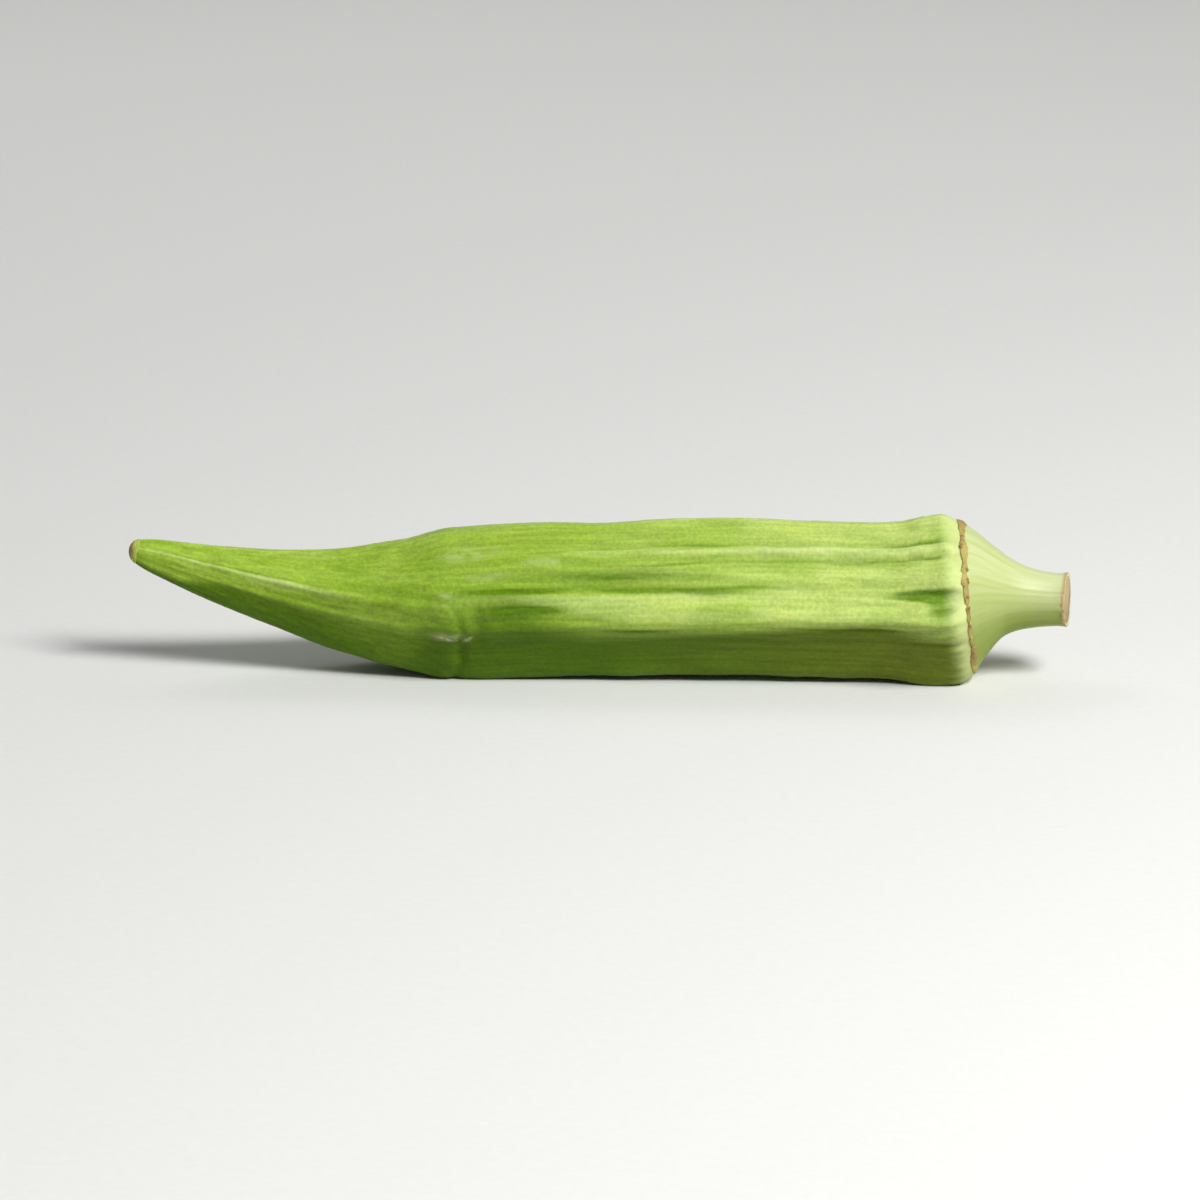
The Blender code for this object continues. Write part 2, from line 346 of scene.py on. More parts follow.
def skin_relief(share, place):
    """The skin's own fine relief: veins, lumps, pebbling, the beak's edges, the fold and its nick."""
    full = ramp(0.03, 0.30, share) * (1 - ramp(0.885, 0.900, share))
    veins = patches(share, place, 7, 64, 11) * 0.6 + patches(share, place, 16, 120, 12) * 0.4
    lumps = patches(share, place, 34, 20, 13)
    pebbles = patches(share, place, 250, 135, 14)
    beak_edges = ((front_crest(share), 1.0), (lower_crest(share), 0.4), (4.00, 1.0))
    edges = sum(sharp * mound(facets_apart(place, at), 0.08) for at, sharp in beak_edges)
    past_fold = fold_distance(share, place)
    fold = FOLD_SWELLING * mound(past_fold + 0.013, 0.018) - FOLD_DEPTH * mound(past_fold - 0.001, 0.0085)
    return (
        (VEINS * veins + LUMPS * lumps) * full
        + BEAK_EDGES * edges * ramp(0.01, 0.08, share) * (1 - ramp(0.26, 0.36, share))
        + PEBBLES * pebbles * ramp(0.01, 0.05, share)
        + fold * mound(place - BELLY, BELLY_REACH)
        + NICK * spot(share, place, 0.3505, 1.395, 0.010, 0.075)
        + FILLED_GROOVE * groove_fills(share, place)
    )


def loft(name, points, ring_section=False):
    """A mesh through rows of points that each run round the pod, closed at its ends or into a ring."""
    rows, columns = points.shape[:2]
    corner = np.arange(rows * columns).reshape(rows, columns)
    beside = np.roll(corner, -1, axis=1)
    ahead = np.roll(corner, -1, axis=0)
    quads = np.stack((corner, beside, np.roll(ahead, -1, axis=1), ahead), -1)
    vertices = points.reshape(-1, 3)
    faces = (quads if ring_section else quads[:-1]).reshape(-1, 4).tolist()
    if not ring_section:
        vertices = np.vstack((vertices, points[0].mean(0), points[-1].mean(0)))
        first, last = rows * columns, rows * columns + 1
        faces += [(first, b, a) for a, b in zip(corner[0].tolist(), beside[0].tolist())]
        faces += [(last, a, b) for a, b in zip(corner[-1].tolist(), beside[-1].tolist())]
    mesh = bpy.data.meshes.new(name)
    mesh.from_pydata(vertices.tolist(), [], faces)
    mesh.shade_smooth()
    piece = bpy.data.objects.new(name, mesh)
    bpy.context.scene.collection.objects.link(piece)
    return piece


def record_straight(piece, share, place, radius):
    """Keeps where each point would lie on a straight, round pod, for patterns that follow the growth."""
    turn = place * 2 * np.pi / RIBS
    straight = np.stack((share * LENGTH, -radius * np.sin(turn), radius * np.cos(turn)), -1).reshape(-1, 3)
    if len(piece.data.vertices) > len(straight):
        ends = [(share[0, 0] * LENGTH, 0, 0), (share[-1, 0] * LENGTH, 0, 0)]
        straight = np.vstack((straight, ends))
    layer = piece.data.attributes.new("straight", "FLOAT_VECTOR", "POINT")
    layer.data.foreach_set("vector", straight.astype(np.float32).ravel())


def record_mask(piece, name, values):
    """Keeps a number from 0 to 1 for each point of a piece, for its material to read."""
    flat = np.zeros(len(piece.data.vertices), np.float32)
    flat[: values.size] = np.clip(values, 0, 1).ravel()
    piece.data.attributes.new(name, "FLOAT", "POINT").data.foreach_set("value", flat)


def linear(hex_colour):
    """The scene-linear RGBA of an sRGB hex colour."""
    channels = [int(hex_colour[i : i + 2], 16) / 255 for i in (0, 2, 4)]
    return [c / 12.92 if c <= 0.04045 else ((c + 0.055) / 1.055) ** 2.4 for c in channels] + [1.0]


def add_node(material, kind, inputs, **settings):
    """Adds a node to a material, with its settings, and its inputs as values or other nodes' outputs."""
    node = material.node_tree.nodes.new("ShaderNode" + kind)
    for name, value in settings.items():
        setattr(node, name, value)
    for name, value in inputs.items():
        if isinstance(value, bpy.types.NodeSocket):
            material.node_tree.links.new(value, node.inputs[name])
        else:
            node.inputs[name].default_value = value
    return node


SKIN_STARTS, FINE_ROWS_END, SKIN_ENDS = 0.0040, 0.03, 0.8975
FINE_ROWS, SKIN_ROWS, SKIN_COLUMNS = 14, 360, 262
fine_rows = np.linspace(SKIN_STARTS, FINE_ROWS_END, FINE_ROWS)[:-1]
skin_rows = np.concatenate((fine_rows, np.linspace(FINE_ROWS_END, SKIN_ENDS, SKIN_ROWS)))
share, place = lattice(skin_rows, SKIN_COLUMNS)
skin = loft("pod_skin", laid(share, place, skin_relief(share, place)))
record_straight(skin, share, place, spline(OUTLINE, share) * CREST_RADIUS)

# Where the skin is paler, partly its own paler skin and partly painted highlight, on the crests: the
# beak's two front crests, its back and top, then the ribs and the broad band along the front, just over
# its corner.
relief = rib_relief(share, place)
beak = 1 - ramp(0.28, 0.42, share)
beak_crests = 0.72 * mound(facets_apart(place, front_crest(share)), 0.085)
beak_crests *= 1 - ramp(0.16, 0.28, share)
beak_crests += 0.15 * mound(facets_apart(place, lower_crest(share)), 0.08)
beak_crests += 0.50 * mound(facets_apart(place, 4.0), 0.10) + 0.30 * mound(facets_apart(place, 0.0), 0.3)
band_top = 0.895 + 0.04 * share - 0.09 * ramp(0.60, 0.72, share) * (1 - ramp(0.79, 0.85, share))
band_foot = 0.98 + 0.25 * ramp(0.38, 0.54, share) - 0.20 * np.clip(share - 0.60, 0, 1)
band_foot -= 0.05 * ramp(0.76, 0.82, share)
on_band = ramp(0.0, 0.05, place - band_top) * (1 - ramp(-0.03, 0.02, place - band_foot))
on_band *= ramp(0.335, 0.35, share) * (1 - 0.5 * ramp(0.80, 0.86, share))
band_or_under = ramp(0.94, 1.00, place) * (1 - ramp(1.24, 1.30, place))
ribs = np.clip(relief / 0.060, 0, 1) ** 1.3 * (1 - band_or_under)
record_mask(skin, "crest", np.maximum(ribs, 0.42 * on_band) * (1 - beak) + beak_crests * beak)

# Where it is darker green, partly its own colour and partly painted shade: in the grooves and in the
# hollows but the first two, which are broad and open, along the line over the beak's front crest, and in a
# few patches of painted shade.
grooves = np.clip(-relief / 0.026, 0, 1) ** 1.3 * (1 - 0.9 * groove_fills(share, place))
BROAD_HOLLOWS = 2
notches = 0.9 * sum(spot(share, place, *hollow[:-1]) for hollow in HOLLOWS[BROAD_HOLLOWS:])
over_crest = 0.40 * mound(facets_apart(place, front_crest(share) - 0.085), 0.05)
over_crest *= ramp(0.03, 0.06, share) * (1 - ramp(0.2, 0.3, share))

# Duller patches that are partly painted shade: (share of LENGTH, place in facets, half-length, half-width
# in facets, strength)
DULL_AND_SHADED_SPOTS = (
    (0.420, 1.12, 0.060, 0.13, 0.30),
    (0.866, 1.05, 0.030, 0.17, 0.40),
    (0.330, 0.96, 0.035, 0.07, 0.50),
    (0.285, 0.88, 0.060, 0.18, 0.50),
    (0.520, 0.76, 0.180, 0.12, 0.75),
)
dull_and_shaded = sum(strength * spot(share, place, *place_and_size) for *place_and_size, strength in DULL_AND_SHADED_SPOTS)
record_mask(skin, "groove_and_shade", grooves + notches + over_crest + dull_and_shaded)

# Painted shade: the underside is drawn a deeper green, as if it lay in shadow. Where that begins, in
# degrees round from the top towards the front, and over how many degrees it deepens: (share of LENGTH,
# degrees)
PAINTED_SHADE_FROM = (
    (0.000, 108),
    (0.050, 103),
    (0.100, 78),
    (0.195, 72),
    (0.288, 60),
    (0.330, 60),
    (0.400, 58),
    (0.450, 74),
    (0.500, 90),
    (0.600, 96),
    (0.780, 90),
    (0.840, 84),
    (0.900, 84),
)
PAINTED_SHADE_WIDTH = (
    (0.000, 30),
    (0.100, 30),
    (0.195, 42),
    (0.288, 98),
    (0.330, 60),
    (0.400, 48),
    (0.450, 36),
    (0.600, 16),
    (0.780, 10),
    (0.840, 26),
    (0.900, 40),
)

# On the far side it ends between these two angles
FAR_FROM, FAR_TO = 238, 275


def painted_shade_at(share, place):
    """How deep the painted shade is at a place: 0 on the lit side, 1 underneath."""
    round_from_top = np.degrees(turned_to(share, place)) % 360
    deepening = ramp(0, 1, (round_from_top - spline(PAINTED_SHADE_FROM, share)) / spline(PAINTED_SHADE_WIDTH, share))
    return deepening * (1 - ramp(FAR_FROM, FAR_TO, round_from_top))


record_mask(skin, "painted_shade", painted_shade_at(share, place))

# Where the skin's powdery wax is thickest, partly painted highlight on the broad band: (share of LENGTH,
# place in facets, half-length, half-width)
BLOOM_AND_HIGHLIGHT_SPOTS = (
    (0.365, 0.42, 0.050, 0.16),
    (0.390, 0.72, 0.035, 0.08),
    (0.515, 0.98, 0.040, 0.05),
    (0.600, 0.96, 0.060, 0.04),
    (0.705, 0.48, 0.090, 0.03),
    (0.790, 0.99, 0.050, 0.05),
    (0.450, 0.56, 0.040, 0.07),
    (0.360, 4.30, 0.050, 0.16),
)
powdery_and_highlight = sum(spot(share, place, *place_and_size) for place_and_size in BLOOM_AND_HIGHLIGHT_SPOTS)
record_mask(skin, "bloom_and_highlight", powdery_and_highlight * (0.60 + 0.6 * patches(share, place, 90, 80, 18)))

# The healed scar on the belly's fold, where the pod rubbed against something as it grew: two pale
# strokes and a speck, a thin smear of painted highlight along the lower crest, and painted shade along the
# fold's crease and under the upper stroke.
past_fold = fold_distance(share, place)
scabby = patches(share, place, 160, 200, 16)
broken = 0.55 + 1.1 * patches(share, place, 330, 90, 19)
upper_stroke = spot(share, place, 0.343, 1.425, 0.020, 0.030, slant=1.5)
hook = 0.9 * spot(share, place, 0.363, 1.430, 0.008, 0.034, slant=-9.0)
smear_highlight = 0.40 * spot(past_fold, place, -0.016, 1.40, 0.026, 0.10)
speck = 0.50 * spot(share, place, 0.341, 0.93, 0.013, 0.045)
record_mask(skin, "scar_and_highlight", (upper_stroke + hook) * broken + (smear_highlight + speck) * (0.80 + 0.6 * scabby))
on_fold = mound(place - BELLY, BELLY_REACH) * (0.6 + 0.4 * patches(share, place, 8, 40, 17))
shade_under_stroke = 0.8 * spot(share, place, 0.345, 1.475, 0.022, 0.030)
record_mask(skin, "crease_shade", 0.8 * mound(past_fold - 0.001, 0.0055) * on_fold + shade_under_stroke)

# Okra epidermis, as it grew: waxy cells under short pale hairs. It gives a soft, mealy satin that
# is palest along the ribs and deeper green in the grooves, partly its own colour and partly painted
# highlight and shade, and flecked at about half a millimetre.
epidermis = bpy.data.materials.new("okra_epidermis")
epidermis.use_nodes = True
shader = epidermis.node_tree.nodes["Principled BSDF"]
along_pod = add_node(epidermis, "Attribute", {}, attribute_name="straight").outputs["Vector"]
crest, groove_and_shade, painted_shade, scar_or_highlight, crease_shade, bloom_and_highlight = (
    add_node(epidermis, "Attribute", {}, attribute_name=mask).outputs["Fac"]
    for mask in ("crest", "groove_and_shade", "painted_shade", "scar_and_highlight", "crease_shade", "bloom_and_highlight")
)
from_tip = add_node(epidermis, "SeparateXYZ", {0: along_pod}).outputs["X"]

# Noises drawn out along the pod: broad bands, fine streaks, and the strokes that fray the pale edge by
# the ring. Each has the length and the width of its marks, and how fine it is.
BANDS, STREAKS, STROKES = (0.030, 0.0017, 3.0), (0.009, 0.00055, 2.0), (0.0030, 0.00070, 2.0)
drawn_out = []
for mark_length, mark_width, detail in (BANDS, STREAKS, STROKES):
    in_marks = add_node(
        epidermis,
        "VectorMath",
        {0: along_pod, 1: (1 / mark_length, 1 / mark_width, 1 / mark_width)},
        operation="MULTIPLY",
    ).outputs[0]
    noise = add_node(epidermis, "TexNoise", {"Vector": in_marks, "Scale": 1.0, "Detail": detail})
    drawn_out.append(noise.outputs["Fac"])
bands, streaks, strokes = drawn_out
PATCH_SIZE = 0.009
blotches = add_node(
    epidermis, "TexNoise", {"Vector": along_pod, "Scale": 1 / PATCH_SIZE, "Detail": 3.0}
).outputs["Fac"]
FLECK_SIZE = 0.00046
flecks = add_node(
    epidermis, "TexNoise", {"Vector": along_pod, "Scale": 1 / FLECK_SIZE, "Detail": 2.0, "Roughness": 0.6}
).outputs["Fac"]

# The hairs' pale bases stand closer than this on a real pod, and are drawn as far apart as shows.
HAIR_SPACING = 0.0008
hair_bases = add_node(
    epidermis, "TexVoronoi", {"Vector": along_pod, "Scale": 1 / HAIR_SPACING, "Randomness": 0.8}
).outputs["Distance"]

# How much of each green shows: on the flanks and crests, partly painted highlight, towards the ring, in
# blotches, as painted shade on the swelling behind the beak, and in the grooves, partly painted shade. The
# greens are then laid over each other in turn.
banded = add_node(
    epidermis,
    "MapRange",
    {"Value": bands, "From Min": 0.32, "From Max": 0.68, "To Min": -0.32, "To Max": 0.32},
).outputs[0]
standing_out = add_node(epidermis, "Math", {0: crest, 1: banded}, operation="ADD").outputs[0]
on_flank = add_node(
    epidermis, "MapRange", {"Value": standing_out, "From Min": -0.25, "From Max": 0.25}
).outputs[0]
on_crest_or_highlight = add_node(
    epidermis, "MapRange", {"Value": standing_out, "From Min": 0.20, "From Max": 0.95}
).outputs[0]
to_ring = add_node(
    epidermis,
    "MapRange",
    {"Value": from_tip, "From Min": 0.42 * LENGTH, "From Max": 0.84 * LENGTH, "To Max": 0.60},
).outputs[0]
blotchy = add_node(
    epidermis, "MapRange", {"Value": blotches, "From Min": 0.42, "From Max": 0.68, "To Max": 0.40}
).outputs[0]
yellower = add_node(
    epidermis, "MapRange", {"Value": blotches, "From Min": 0.46, "From Max": 0.28, "To Max": 0.26}
).outputs[0]
to_swelling = add_node(
    epidermis, "MapRange", {"Value": from_tip, "From Min": 0.16 * LENGTH, "From Max": 0.30 * LENGTH}
).outputs[0]
past_swelling = add_node(
    epidermis,
    "MapRange",
    {"Value": from_tip, "From Min": 0.56 * LENGTH, "From Max": 0.42 * LENGTH, "To Max": 0.42},
).outputs[0]
shade_on_swelling = add_node(
    epidermis, "Math", {0: to_swelling, 1: past_swelling}, operation="MULTIPLY"
).outputs[0]
lying_deep = add_node(epidermis, "Math", {0: groove_and_shade, 1: banded}, operation="ADD").outputs[0]
in_groove_or_shade = add_node(
    epidermis, "MapRange", {"Value": lying_deep, "From Min": 0.05, "From Max": 0.95, "To Max": 0.88}
).outputs[0]
green = add_node(
    epidermis, "Mix", {0: on_flank, 6: linear("86A72A"), 7: linear("A2BD48")}, data_type="RGBA"
).outputs[2]
for amount, colour in (
    (on_crest_or_highlight, "C6D788"),
    (to_ring, "BFCE7E"),
    (blotchy, "8DAE30"),
    (yellower, "B2C44C"),
    (shade_on_swelling, "7C9C2C"),
    (in_groove_or_shade, "557A00"),
):
    green = add_node(
        epidermis, "Mix", {0: amount, 6: green, 7: linear(colour)}, data_type="RGBA"
    ).outputs[2]

# Painted shade: a deeper green over the underside, more olive towards the ring, then the fine streaks and
# flecks.
olive = add_node(
    epidermis, "MapRange", {"Value": from_tip, "From Min": 0.50 * LENGTH, "From Max": 0.84 * LENGTH}
).outputs[0]
painted_shade_green = add_node(
    epidermis, "Mix", {0: olive, 6: linear("466600"), 7: linear("5C6A06")}, data_type="RGBA"
).outputs[2]
painted_shade_amount = add_node(epidermis, "Math", {0: painted_shade, 1: 0.92}, operation="MULTIPLY").outputs[0]
with_painted_shade = add_node(epidermis, "Mix", {0: painted_shade_amount, 6: green, 7: painted_shade_green}, data_type="RGBA").outputs[2]
streaky = add_node(
    epidermis,
    "MapRange",
    {"Value": streaks, "From Min": 0.34, "From Max": 0.66, "To Min": 0.30, "To Max": 0.72},
).outputs[0]
streaked = add_node(
    epidermis, "Mix", {0: 0.30, 6: with_painted_shade, 7: streaky}, data_type="RGBA", blend_type="OVERLAY"
).outputs[2]
flecked = add_node(
    epidermis,
    "MapRange",
    {"Value": flecks, "From Min": 0.36, "From Max": 0.64, "To Min": 0.30, "To Max": 0.74},
).outputs[0]
mealy = add_node(
    epidermis, "Mix", {0: 0.24, 6: streaked, 7: flecked}, data_type="RGBA", blend_type="OVERLAY"
).outputs[2]

# What lies on top: the hairs' bases, left out of the painted shade, the wax with some painted highlight,
# the pale frayed edge by the ring, the painted shade in the crease, and the healed scar with a smear of
# painted highlight.
dot = add_node(
    epidermis, "MapRange", {"Value": hair_bases, "From Min": 0.32, "From Max": 0.10, "To Max": 0.08}
).outputs[0]
outside_painted_shade = add_node(epidermis, "MapRange", {"Value": painted_shade, "To Min": 1.0, "To Max": 0.1}).outputs[0]
dotted = add_node(epidermis, "Math", {0: dot, 1: outside_painted_shade}, operation="MULTIPLY").outputs[0]
waxy_and_highlight = add_node(epidermis, "Math", {0: bloom_and_highlight, 1: 0.34}, operation="MULTIPLY").outputs[0]
FRINGE = 0.0004
ragged = add_node(
    epidermis,
    "MapRange",
    {"Value": strokes, "From Min": 0.3, "From Max": 0.7, "To Min": -FRINGE, "To Max": FRINGE},
).outputs[0]
towards_ring = add_node(epidermis, "Math", {0: from_tip, 1: ragged}, operation="ADD").outputs[0]
by_ring = add_node(
    epidermis,
    "MapRange",
    {"Value": towards_ring, "From Min": 0.868 * LENGTH, "From Max": 0.891 * LENGTH, "To Max": 0.72},
    interpolation_type="SMOOTHSTEP",
).outputs[0]
finished = mealy
for amount, colour in (
    (dotted, "D6E49A"),
    (waxy_and_highlight, "CEDC9C"),
    (by_ring, "CDD792"),
    (crease_shade, "456000"),
    (scar_or_highlight, "CFCFA0"),
):
    finished = add_node(
        epidermis, "Mix", {0: amount, 6: finished, 7: linear(colour)}, data_type="RGBA"
    ).outputs[2]
epidermis.node_tree.links.new(finished, shader.inputs["Base Color"])
skin_roughness = add_node(
    epidermis, "MapRange", {"Value": flecks, "To Min": 0.40, "To Max": 0.62}
).outputs[0]
epidermis.node_tree.links.new(skin_roughness, shader.inputs["Roughness"])
grain = add_node(
    epidermis, "Bump", {"Height": flecks, "Strength": 0.45, "Distance": 0.00010}
).outputs[0]
veined = add_node(
    epidermis,
    "Bump",
    {"Height": bands, "Strength": 0.6, "Distance": 0.00030, "Normal": grain},
).outputs[0]
epidermis.node_tree.links.new(veined, shader.inputs["Normal"])
shader.inputs["IOR"].default_value = 1.40
shader.inputs["Specular IOR Level"].default_value = 0.18
shader.inputs["Subsurface Weight"].default_value = 0.08
shader.inputs["Subsurface Radius"].default_value = (0.6, 1.0, 0.15)
shader.inputs["Subsurface Scale"].default_value = 0.0008
skin.data.materials.append(epidermis)
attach(skin, "root")
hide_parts("okra_pod")


# The cap and the stump of stalk. The cap is the flower's base, which swelled under the pod, and it
# narrows to the stalk, which a knife or shears cut through. Both are smooth, firm and nearly bare.
CAP_STARTS, CAP_ENDS = 0.8885, 0.9560
CAP_ROWS, STALK_ROWS, CAP_COLUMNS = 110, 60, 240
TUCK, FLUTES, FINE_FLUTES, DENTS, FRAYING = 0.00025, 0.000110, 0.000040, 0.000025, 0.000070
cap_rows = np.linspace(CAP_STARTS, CAP_ENDS, CAP_ROWS)[:-1]
share, place = lattice(np.concatenate((cap_rows, np.linspace(CAP_ENDS, 1.0, STALK_ROWS))), CAP_COLUMNS)
tucked = -TUCK * (1 - ramp(0.8950, 0.8990, share))
fluted = FLUTES * patches(share, place, 3, 20, 21) + FINE_FLUTES * patches(share, place, 5, 60, 22)
dented = DENTS * patches(share, place, 40, 14, 23)
frayed = FRAYING * ramp(0.985, 1.0, share) * patches(share, place, 4, 34, 24)
cap = loft("pod_cap", laid(share, place, tucked + fluted + dented + frayed))
# Painted shade: the cap and stalk turn a deeper green round their underside.
record_mask(cap, "painted_shade", ramp(0.45, 1.90, place) * (1 - ramp(3.30, 4.10, place)))

# The cap's patterns are laid as if it were as thin as a rod, so that its fibres run in to the stalk.
CAP_PATTERN_RADIUS = 0.0060
record_straight(cap, share, place, CAP_PATTERN_RADIUS)

# Young stem tissue, as it grew: a thin waxy rind over pale flesh. It gives a smoother, paler satin
# than the pod, palest along the stalk, with faint lengthwise fibres, a browned cut edge and a painted
# shade of deeper green round its underside. Its real pores are some ten times as fine, and are drawn as
# coarse as they need to show.
rind = bpy.data.materials.new("okra_stem_rind")
rind.use_nodes = True
shader = rind.node_tree.nodes["Principled BSDF"]
along_pod = add_node(rind, "Attribute", {}, attribute_name="straight").outputs["Vector"]
from_tip = add_node(rind, "SeparateXYZ", {0: along_pod}).outputs["X"]
FIBRE_LENGTH, FIBRE_WIDTH = 0.009, 0.00055
along_fibres = add_node(
    rind,
    "VectorMath",
    {0: along_pod, 1: (1 / FIBRE_LENGTH, 1 / FIBRE_WIDTH, 1 / FIBRE_WIDTH)},
    operation="MULTIPLY",
).outputs[0]
fibres = add_node(
    rind, "TexNoise", {"Vector": along_fibres, "Scale": 1.0, "Detail": 3.0, "Roughness": 0.6}
)
CLOUD_SIZE = 0.005
clouds = add_node(rind, "TexNoise", {"Vector": along_pod, "Scale": 1 / CLOUD_SIZE, "Detail": 3.0})
PORE_SIZE = 0.00032
pores = add_node(rind, "TexNoise", {"Vector": along_pod, "Scale": 1 / PORE_SIZE, "Detail": 2.0})
fibrous = add_node(
    rind, "MapRange", {"Value": fibres.outputs["Fac"], "From Min": 0.38, "From Max": 0.66, "To Max": 0.8}
).outputs[0]
cloudy = add_node(
    rind, "MapRange", {"Value": clouds.outputs["Fac"], "From Min": 0.45, "From Max": 0.72, "To Max": 0.35}
).outputs[0]
to_stalk = add_node(
    rind,
    "MapRange",
    {"Value": from_tip, "From Min": 0.925 * LENGTH, "From Max": 0.985 * LENGTH, "To Max": 0.65},
).outputs[0]
# The painted shade on the underside, which mixes in a deeper green
cap_painted_shade = add_node(rind, "Attribute", {}, attribute_name="painted_shade").outputs["Fac"]
cap_shade_amount = add_node(rind, "Math", {0: cap_painted_shade, 1: 0.90}, operation="MULTIPLY").outputs[0]
at_edge = add_node(
    rind,
    "MapRange",
    {"Value": from_tip, "From Min": 0.9955 * LENGTH, "From Max": 0.9990 * LENGTH, "To Max": 0.75},
).outputs[0]
pale_green = add_node(
    rind, "Mix", {0: fibrous, 6: linear("C2CA92"), 7: linear("AFBC6C")}, data_type="RGBA"
).outputs[2]
for amount, colour in (
    (cloudy, "ACB866"),
    (to_stalk, "C4CA9C"),
    (cap_shade_amount, "788C10"),
    (at_edge, "A48450"),
):
    pale_green = add_node(
        rind, "Mix", {0: amount, 6: pale_green, 7: linear(colour)}, data_type="RGBA"
    ).outputs[2]
rind.node_tree.links.new(pale_green, shader.inputs["Base Color"])
rind_roughness = add_node(
    rind, "MapRange", {"Value": pores.outputs["Fac"], "To Min": 0.34, "To Max": 0.56}
).outputs[0]
rind.node_tree.links.new(rind_roughness, shader.inputs["Roughness"])
pitted = add_node(
    rind, "Bump", {"Height": pores.outputs["Fac"], "Strength": 0.20, "Distance": 0.00008}
).outputs[0]
ridged = add_node(
    rind,
    "Bump",
    {"Height": fibres.outputs["Fac"], "Strength": 0.4, "Distance": 0.00010, "Normal": pitted},
).outputs[0]
rind.node_tree.links.new(ridged, shader.inputs["Normal"])
shader.inputs["IOR"].default_value = 1.42
shader.inputs["Subsurface Weight"].default_value = 0.20
shader.inputs["Subsurface Radius"].default_value = (0.8, 1.0, 0.4)
shader.inputs["Subsurface Scale"].default_value = 0.0014
cap.data.materials.append(rind)
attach(cap, "root")


# The ring: the corky scar left where the flower's leaves stood and dropped off. It is a thin,
# uneven ridge of dry tissue between the body and the cap, cracked into small scales.
RING_SHARE, RING_WANDER, RING_HALF_WIDTH = 0.8960, 0.0010, 0.0029
RING_HEIGHT, RING_EDGE, RING_ROOT = 0.00012, 0.00004, 0.0003
RING_COLUMNS = 720
SECTION_POINTS = 16
section = np.arange(SECTION_POINTS) * 2 * np.pi / SECTION_POINTS
across, place = np.meshgrid(section, np.arange(RING_COLUMNS) * RIBS / RING_COLUMNS, indexing="ij")
broad = 0.55 * patches(0 * place, place, 1, 22, 31) + 0.35 * patches(0 * place, place, 1, 150, 32)
wander = RING_WANDER * patches(0 * place, place, 1, 18, 33)
share = RING_SHARE + wander - RING_HALF_WIDTH * (1 + broad) * np.cos(across)
crumbs = patches(across / (2 * np.pi), place, 10, 300, 34)
height = RING_HEIGHT * (1 + 0.5 * patches(0 * place, place, 1, 90, 35) + 0.5 * crumbs)
over, under = np.maximum(np.sin(across), 0), np.minimum(np.sin(across), 0)
ridge = np.where(over > 0, height * over**0.7 + RING_EDGE, RING_ROOT * under)
ring = loft("ring_scar", laid(share, place, ridge), ring_section=True)
record_straight(ring, share, place, spline(OUTLINE, share) * CREST_RADIUS)

# Cork, as it dried: dead cells with no sap or wax. It gives a dull, dry buff line, freckled with
# darker brown where the scales have cracked, and greener where the skin still shows through.
cork = bpy.data.materials.new("dried_cork")
cork.use_nodes = True
shader = cork.node_tree.nodes["Principled BSDF"]
along_pod = add_node(cork, "Attribute", {}, attribute_name="straight").outputs["Vector"]
SCALE_SIZE = 0.0007
scales = add_node(cork, "TexNoise", {"Vector": along_pod, "Scale": 1 / SCALE_SIZE, "Detail": 3.0})
STRETCH_SIZE = 0.0026
stretches = add_node(cork, "TexNoise", {"Vector": along_pod, "Scale": 1 / STRETCH_SIZE, "Detail": 2.0})
dry = add_node(
    cork, "MapRange", {"Value": stretches.outputs["Fac"], "From Min": 0.38, "From Max": 0.62}
).outputs[0]
buff = add_node(
    cork, "Mix", {0: dry, 6: linear("AEA05A"), 7: linear("927A42")}, data_type="RGBA"
).outputs[2]
cracked = add_node(
    cork, "MapRange", {"Value": scales.outputs["Fac"], "From Min": 0.54, "From Max": 0.66, "To Max": 0.80}
).outputs[0]
freckled = add_node(
    cork, "Mix", {0: cracked, 6: buff, 7: linear("6E5026")}, data_type="RGBA"
).outputs[2]
cork.node_tree.links.new(freckled, shader.inputs["Base Color"])
crumbly = add_node(
    cork, "Bump", {"Height": scales.outputs["Fac"], "Strength": 0.8, "Distance": 0.00012}
).outputs[0]
cork.node_tree.links.new(crumbly, shader.inputs["Normal"])
shader.inputs["Roughness"].default_value = 0.85
shader.inputs["IOR"].default_value = 1.45
ring.data.materials.append(cork)
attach(ring, "root")


# The cut face: the end of the stalk where it was cut from the plant. A thin browned rind goes
# round pale flesh, whose bundles of fibre stand as a ring of dots about a spongy, sunken pith.
CUT_RADIUS = OUTLINE[-1][1] * CREST_RADIUS
CUT_ROWS, CUT_COLUMNS, INNERMOST = 56, 180, 0.02
FLESH_DIP, PITH_DIP, SAW_MARKS, FINE_MARKS = 0.00028, 0.00022, 0.000040, 0.000030
BUNDLE_HEIGHT, FACE_PROUD = 0.00008, 0.00003
out, place = lattice(np.linspace(1.0, INNERMOST, CUT_ROWS), CUT_COLUMNS)
edge = grown(np.ones_like(place), place) + LAID_DOWN
cut_middle = edge[0].mean(0)
cut_forward = np.cross(edge[0, 0] - cut_middle, edge[0, CUT_COLUMNS // 4] - cut_middle)
cut_forward *= math.copysign(1.0, cut_forward[0]) / np.linalg.norm(cut_forward)
sunken = -FLESH_DIP * (1 - ramp(0.72, 0.93, out)) - PITH_DIP * (1 - ramp(0.25, 0.45, out))
sawn = SAW_MARKS * patches(out, place, 14, 60, 41) + FINE_MARKS * patches(out, place, 30, 20, 42)
bundles = BUNDLE_HEIGHT * mound(out - 0.62, 0.10) * np.maximum(0, patches(0 * place, place, 1, 46, 43))
face = cut_middle + (edge - cut_middle) * out[..., None]
face += cut_forward * (sunken + sawn + bundles + FACE_PROUD)[..., None]

